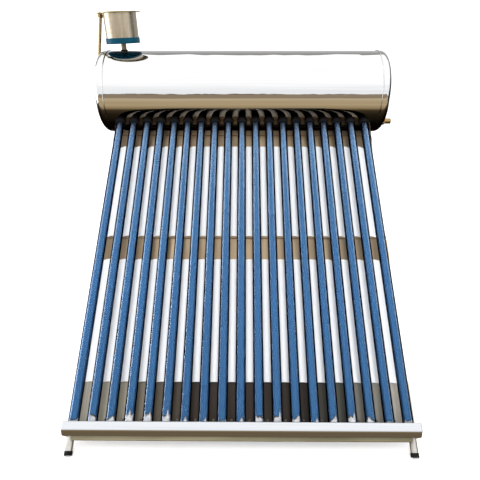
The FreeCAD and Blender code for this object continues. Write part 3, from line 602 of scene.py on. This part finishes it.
def only_mirrored(card):
    """Keep a card out of the picture itself: it is seen in the polished steel and the glass only."""
    card.visible_camera = False
    card.visible_diffuse = False
    card.visible_shadow = False
    card.visible_transmission = False


def make_floor():
    """Plain pale floor that the camera sees; the steel mirrors the cards in its place."""
    m = Nodes("pale_floor")
    m.set(Base_Color=(0.93, 0.93, 0.93, 1), Roughness=0.9, Specular_IOR_Level=0.1)
    floor = flat_card("floor", level_corners((-30, -30), (30, 30), 0.0), m.material)
    floor.visible_glossy = False


def uneven_wall(name, y, low, heights, half_width, material):
    """Upright card across the view whose top edge rises and falls."""
    steps = len(heights) - 1
    places = [half_width * (2 * i / steps - 1) for i in range(steps + 1)]
    mesh = bmesh.new()
    feet = [mesh.verts.new((x, y, low)) for x in places]
    tops = [mesh.verts.new((x, y, low + height)) for x, height in zip(places, heights)]
    for i in range(steps):
        mesh.faces.new((feet[i], feet[i + 1], tops[i + 1], tops[i]))
    only_mirrored(stage_card(name, mesh, material))


def make_mirrored_ground():
    """Tan ground in front of the heater as its tank mirrors it, darker under the heater and far away."""
    m, shine = shining("mirrored_ground", (0.4, 0.3, 0.2))
    tone = m.ramp(m.share("Y", TANK.y - GROUND_REACH, TANK.y), [
        (0.0, (0.50, 0.40, 0.27)),
        (0.565, (0.50, 0.37, 0.25)),
        (0.61, (0.92, 0.76, 0.51)),
        (0.75, (0.76, 0.58, 0.34)),
        (0.868, (0.80, 0.61, 0.35)),
        (0.882, (0.42, 0.31, 0.17)),
        (0.892, (0.22, 0.18, 0.12)),
        (0.93, (0.09, 0.075, 0.052)),
        (1.0, (0.015, 0.013, 0.012)),
    ])
    m.link(tone, shine.inputs["Color"])
    corners = level_corners((-9, TANK.y - GROUND_REACH), (9, TANK.y + 3), -0.004)
    only_mirrored(flat_card("mirrored_ground", corners, m.material))


def make_mirrored_back(rng):
    """Grey wall behind the tank, lighter towards its foot."""
    foot = TANK.z + 0.1
    m, shine = shining("mirrored_grey", (0.6, 0.6, 0.6))
    tone = m.ramp(m.share("Z", foot, TANK.z + 2.8), [
        (0.0, (0.95, 0.95, 0.97)),
        (0.35, (0.75, 0.75, 0.76)),
        (0.8, (0.50, 0.49, 0.47)),
    ])
    m.link(tone, shine.inputs["Color"])
    heights = [2.5 + rng.uniform(-0.35, 0.35) for _ in range(60)]
    uneven_wall("mirrored_back", TANK.y + 1.5, foot, heights, 4, m.material)


def make_mirrored_horizon(rng):
    """Brown horizon at the far edge of the mirrored ground."""
    brown = shining("mirrored_horizon", (0.28, 0.20, 0.14))[0].material
    heights = [rng.choice((0.12, 0.25, 0.45)) + rng.uniform(0, 0.2) for _ in range(160)]
    uneven_wall("mirrored_front", TANK.y - GROUND_REACH + 0.1, 0, heights, 9, brown)


def make_mirrored_sides():
    """A light card at the left of the tank, and a dark strip in the tubes' plane at the right."""
    light = shining("mirrored_side", (0.75, 0.75, 0.78))[0].material
    corners = [TANK + Vector((-3.5, y, z)) for y, z in ((0.9, -1.2), (3.0, -1.2), (3.0, 0.8), (0.9, 0.8))]
    only_mirrored(flat_card("mirrored_left", corners, light))
    dark = shining("mirrored_dark", (0.03, 0.04, 0.05))[0].material
    corners = [on_slope(5, down, out) for down, out in ((-4, -1.2), (2.2, -1.2), (2.2, 1.2), (-4, 1.2))]
    only_mirrored(flat_card("mirrored_right", corners, dark))


def make_area_light(name, length, width, power, place, turn):
    data = bpy.data.lights.new(name, "AREA")
    data.shape = "RECTANGLE"
    data.size = length
    data.size_y = width
    data.energy = power
    light = bpy.data.objects.new(name, data)
    light.location = place
    light.rotation_euler = turn
    light.visible_camera = False
    bpy.context.scene.collection.objects.link(light)
    return light


def make_strip_light():
    """A long soft strip on the left, in the tubes' plane: it draws the thin highlight along each tube."""
    turn = Matrix((DOWN, OUT, DOWN.cross(OUT))).transposed().to_euler()
    light = make_area_light("strip", 5.4, 1.5, 130, on_slope(-5, -0.6, 0), turn)
    light.visible_diffuse = False


def make_front_light():
    """Wide soft light square to the slope: it reaches the white sheets between the tubes."""
    turn = OUT.to_track_quat("Z", "X").to_euler()
    light = make_area_light("front", 2.4, 2.4, 80, on_slope(0, 1.0, 4.5), turn)
    light.visible_glossy = False


def make_world():
    """White all round, a little dimmer towards the horizon."""
    world = bpy.data.worlds.new("studio")
    world.use_nodes = True
    nodes = world.node_tree.nodes
    links = world.node_tree.links
    place = nodes.new("ShaderNodeTexCoord")
    split = nodes.new("ShaderNodeSeparateXYZ")
    sky = nodes.new("ShaderNodeValToRGB")
    horizon, above = sky.color_ramp.elements
    horizon.color = (0.80, 0.81, 0.83, 1)
    horizon.position = 0.05
    above.color = (1.0, 1.0, 1.0, 1)
    above.position = 0.45
    links.new(place.outputs["Generated"], split.inputs["Vector"])
    links.new(split.outputs["Z"], sky.inputs["Fac"])
    links.new(sky.outputs["Color"], nodes["Background"].inputs["Color"])
    nodes["Background"].inputs["Strength"].default_value = 2.0
    bpy.context.scene.world = world


def make_surroundings():
    rng = random.Random(3)
    make_floor()
    make_mirrored_ground()
    make_mirrored_back(rng)
    make_mirrored_horizon(rng)
    make_mirrored_sides()
    make_strip_light()
    make_front_light()
    make_world()


make_surroundings()
bpy.context.scene.view_settings.view_transform = "Standard"
